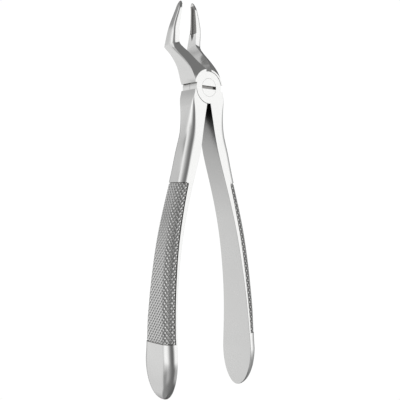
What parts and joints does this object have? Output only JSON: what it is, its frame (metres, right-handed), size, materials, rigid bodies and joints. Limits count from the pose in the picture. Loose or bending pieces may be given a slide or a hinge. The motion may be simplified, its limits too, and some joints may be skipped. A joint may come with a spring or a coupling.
{
  "type": "dental extraction forceps",
  "caption": "Bayonet dental extraction forceps: offset beaks, lap joint with slotted pivot screw, curved handles with diamond-cut grips.",
  "frame": {"origin": "centre of the lap joint, on the pivot axis, halfway through the joint's thickness", "axes": "+Z toward the beak tips with the handles hanging down, +Y along the pivot axis from the screw head to the rear face and toward the side the beaks are offset to, +X toward the front half's handle"},
  "size_m": [0.0538, 0.0268, 0.1807],
  "materials": {
    "front_half": "satin",
    "rear_half": "satin",
    "pivot_screw": "satin"
  },
  "bodies": {
    "rear_body": {"rear_half": "rear_half", "pivot_screw": "pivot_screw"},
    "front_body": {"front_half": "front_half"}
  },
  "joints": [
    {"name": "jaw_hinge", "type": "hinge", "parent": "rear_body", "child": "front_body", "pos_m": [0, 0, 0], "axis": [0, -1, 0], "range_deg": [-8.7, 19]}
  ]
}
